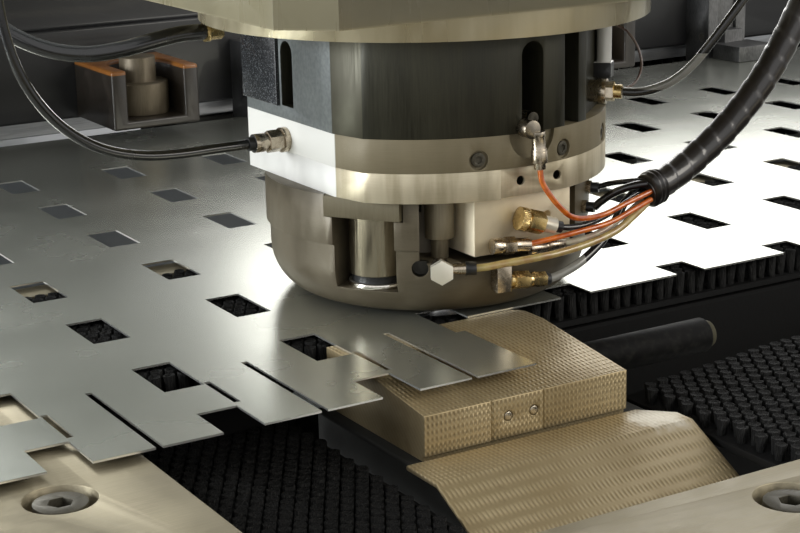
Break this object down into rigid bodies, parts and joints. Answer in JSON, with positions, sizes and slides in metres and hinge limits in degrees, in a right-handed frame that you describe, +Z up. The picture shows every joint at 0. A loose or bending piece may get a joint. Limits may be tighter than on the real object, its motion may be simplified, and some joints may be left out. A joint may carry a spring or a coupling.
{
  "type": "single-head cnc punch press",
  "caption": "C-frame sheet-metal punch press with a rotating single tool head, brush tables, a travelling rail with sheet clamps and a part-worked perforated sheet.",
  "frame": {"origin": "on the floor under the punch axis, at the centre of the four station anchor holes", "axes": "+X along the rail to the operator's right, +Y from the operator into the throat, +Z up"},
  "size_m": [3.732, 3.1059, 1.98],
  "materials": {
    "frame_paint": "satin, orange peel",
    "cover_paint": "satin",
    "nose_paint": "satin",
    "housing_paint": "satin, hand-worn",
    "block_steel": "blackened, fine ground",
    "hammer_plate": "hammered",
    "ring_alu": "matte, anodised",
    "ring_steel": "turned",
    "bowl_steel": "satin, oiled",
    "polished": "polished",
    "manifold_alu": "matte",
    "fitting_nickel": "nickel plated and bare",
    "sensor_white": "smooth",
    "dark_screw": "blackened",
    "tool_steel": "ground",
    "machine_iron": "painted dark",
    "embossed_cover": "embossed, stained",
    "bar_rubber": "matte",
    "flap_steel": "matte",
    "brush_black": "nylon bristles",
    "plate_alu": "ground",
    "table_paint": "satin",
    "guide_steel": "ground",
    "saddle_paint": "satin",
    "clamp_steel": "blackened",
    "cassette_plastic": "moulded",
    "sheet_zinc": "galvanised",
    "hose_black": "satin",
    "tube_orange": "translucent",
    "cable_grey": "satin"
  },
  "bodies": {
    "frame": {"c_frame": "frame_paint", "side_cover_left": "cover_paint", "side_cover_right": "cover_paint", "nose_cover": "nose_paint", "ram_cylinder": "machine_iron", "index_stator": "machine_iron", "head_housing": "housing_paint", "head_block": "block_steel", "block_plate": "hammer_plate", "mount_ring": "ring_alu", "clamp_ring": "ring_steel", "holddown_bowl": "bowl_steel", "guide_column": "polished", "guide_pin": "tool_steel", "manifold": "manifold_alu", "head_fittings": "fitting_nickel", "position_sensor": "sensor_white", "ring_screws": "dark_screw", "die_pedestal": "machine_iron", "die_console": "machine_iron", "die_cover": "embossed_cover", "chute_cover": "embossed_cover", "cover_screws": "dark_screw", "guard_bar": "bar_rubber", "station_plate": "plate_alu", "plate_bolts": "dark_screw", "plate_stand": "table_paint", "brush_tray": "flap_steel", "center_brush": "brush_black", "side_table_left": "table_paint", "side_table_right": "table_paint", "side_brushes": "brush_black", "y_guides": "guide_steel", "left_air_hose": "hose_black", "left_feed_hose": "hose_black", "sensor_cable": "cable_grey", "hose_bundle": "hose_black", "head_tubes": "tube_orange", "hose_glands": "fitting_nickel", "parts_chute": "flap_steel"},
    "tool_head": {"spindle_sleeve": "tool_steel"},
    "ram": {"ram": "polished", "punch": "tool_steel"},
    "stripper": {"stripper_plate": "tool_steel"},
    "die_turn": {"die_holder": "tool_steel", "die": "tool_steel"},
    "saddle": {"saddle": "saddle_paint", "saddle_bearings": "dark_screw"},
    "rail": {"x_rail": "cover_paint", "x_guides": "guide_steel", "clamp_bodies": "clamp_steel", "clamp_pins": "polished", "tool_cassettes": "cassette_plastic", "spare_tools": "tool_steel", "sheet": "sheet_zinc"},
    "jaw_left": {"clamp_jaw_left": "clamp_steel"},
    "jaw_middle": {"clamp_jaw_middle": "clamp_steel"},
    "jaw_right": {"clamp_jaw_right": "clamp_steel"},
    "flap": {"parts_flap": "flap_steel", "flap_brush": "brush_black"}
  },
  "joints": [
    {"name": "index_spin", "type": "hinge", "parent": "frame", "child": "tool_head", "pos_m": [0, 0, 1.1], "axis": [0, 0, 1], "continuous": true},
    {"name": "ram_stroke", "type": "slide", "parent": "tool_head", "child": "ram", "axis": [0, 0, -1], "range_m": [0, 0.03]},
    {"name": "stripper_lift", "type": "slide", "parent": "tool_head", "child": "stripper", "axis": [0, 0, 1], "range_m": [0, 0.006]},
    {"name": "die_spin", "type": "hinge", "parent": "frame", "child": "die_turn", "pos_m": [0, 0, 0.87], "axis": [0, 0, 1], "continuous": true},
    {"name": "y_travel", "type": "slide", "parent": "frame", "child": "saddle", "axis": [0, 1, 0], "range_m": [-0.5, 0.32]},
    {"name": "x_travel", "type": "slide", "parent": "saddle", "child": "rail", "axis": [1, 0, 0], "range_m": [-1.25, 0.75]},
    {"name": "jaw_left_open", "type": "hinge", "parent": "rail", "child": "jaw_left", "pos_m": [-0.5, 0.785, 0.928], "axis": [-1, 0, 0], "range_deg": [0, 12]},
    {"name": "jaw_middle_open", "type": "hinge", "parent": "rail", "child": "jaw_middle", "pos_m": [0.25, 0.785, 0.928], "axis": [-1, 0, 0], "range_deg": [0, 12]},
    {"name": "jaw_right_open", "type": "hinge", "parent": "rail", "child": "jaw_right", "pos_m": [1, 0.785, 0.928], "axis": [-1, 0, 0], "range_deg": [0, 12]},
    {"name": "flap_tilt", "type": "hinge", "parent": "frame", "child": "flap", "pos_m": [0.56039, -0.33, 0.87201], "axis": [0, -1, 0], "range_deg": [-3.7, 20]}
  ],
  "couplings": [
    {"joint": "die_spin", "follows": "index_spin", "ratio": 1},
    {"joint": "jaw_middle_open", "follows": "jaw_left_open", "ratio": 1},
    {"joint": "jaw_right_open", "follows": "jaw_left_open", "ratio": 1}
  ]
}
